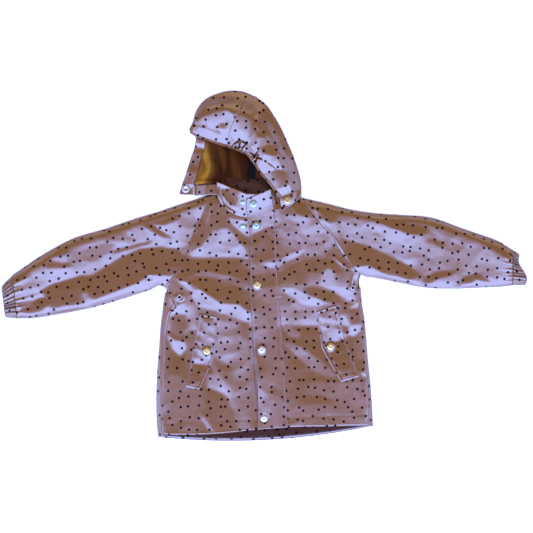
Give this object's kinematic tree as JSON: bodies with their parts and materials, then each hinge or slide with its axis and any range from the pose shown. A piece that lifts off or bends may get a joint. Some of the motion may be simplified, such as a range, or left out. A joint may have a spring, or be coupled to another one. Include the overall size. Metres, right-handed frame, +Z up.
{
  "type": "toddler raincoat",
  "caption": "Toddler's hooded raincoat in dotted coated cloth, snapped shut and laid flat, with raglan sleeves, elastic cuffs, snap placket, pocket flaps and a removable hood turned aside",
  "frame": {"origin": "bottom centre of the bounding box, on the floor under the middle of the coat", "axes": "+X towards the wearer's left cuff, +Y from the hem to the hood, +Z up from the floor, out of the coat's front"},
  "size_m": [0.9466, 0.6316, 0.0337],
  "materials": {
    "shell_cloth": "brown-rose coated cloth with a soft sheen and black dots",
    "lining_cloth": "matte mustard lining",
    "tab_cloth": "black woven tape",
    "snap_steel": "polished silver-coloured snap",
    "snap_gold": "pale gold-coloured snap",
    "snap_pearl": "snap with a pale green iridescent face"
  },
  "bodies": {
    "root": {"back": "shell_cloth", "back_hem": "shell_cloth", "front_r": "shell_cloth", "front_l": "shell_cloth", "placket": "shell_cloth", "collar_r": "shell_cloth", "collar_l": "shell_cloth", "collar_back": "shell_cloth", "sleeve_r": "shell_cloth", "sleeve_l": "shell_cloth", "cuff_r": "shell_cloth", "cuff_l": "shell_cloth", "flap_r": "shell_cloth", "flap_l": "shell_cloth", "hood_peak": "shell_cloth", "hood_side": "shell_cloth", "hood_far": "shell_cloth", "hood_facing": "shell_cloth", "hood_band_r": "shell_cloth", "hood_band_l": "shell_cloth", "hood_lining": "lining_cloth", "hood_tab": "tab_cloth", "snap_front_4": "snap_steel", "snap_front_5": "snap_steel", "snap_hood_r": "snap_steel", "eyelet_sleeve_r": "snap_steel", "eyelet_front_r": "snap_steel", "eyelet_front_l": "snap_steel", "snap_front_3": "snap_gold", "snap_flap_r": "snap_gold", "snap_flap_l": "snap_gold", "snap_hood_l": "snap_gold", "snap_front_1": "snap_pearl", "snap_front_2": "snap_pearl", "stud_collar": "snap_pearl", "stud_front": "snap_pearl"}
  },
  "joints": []
}
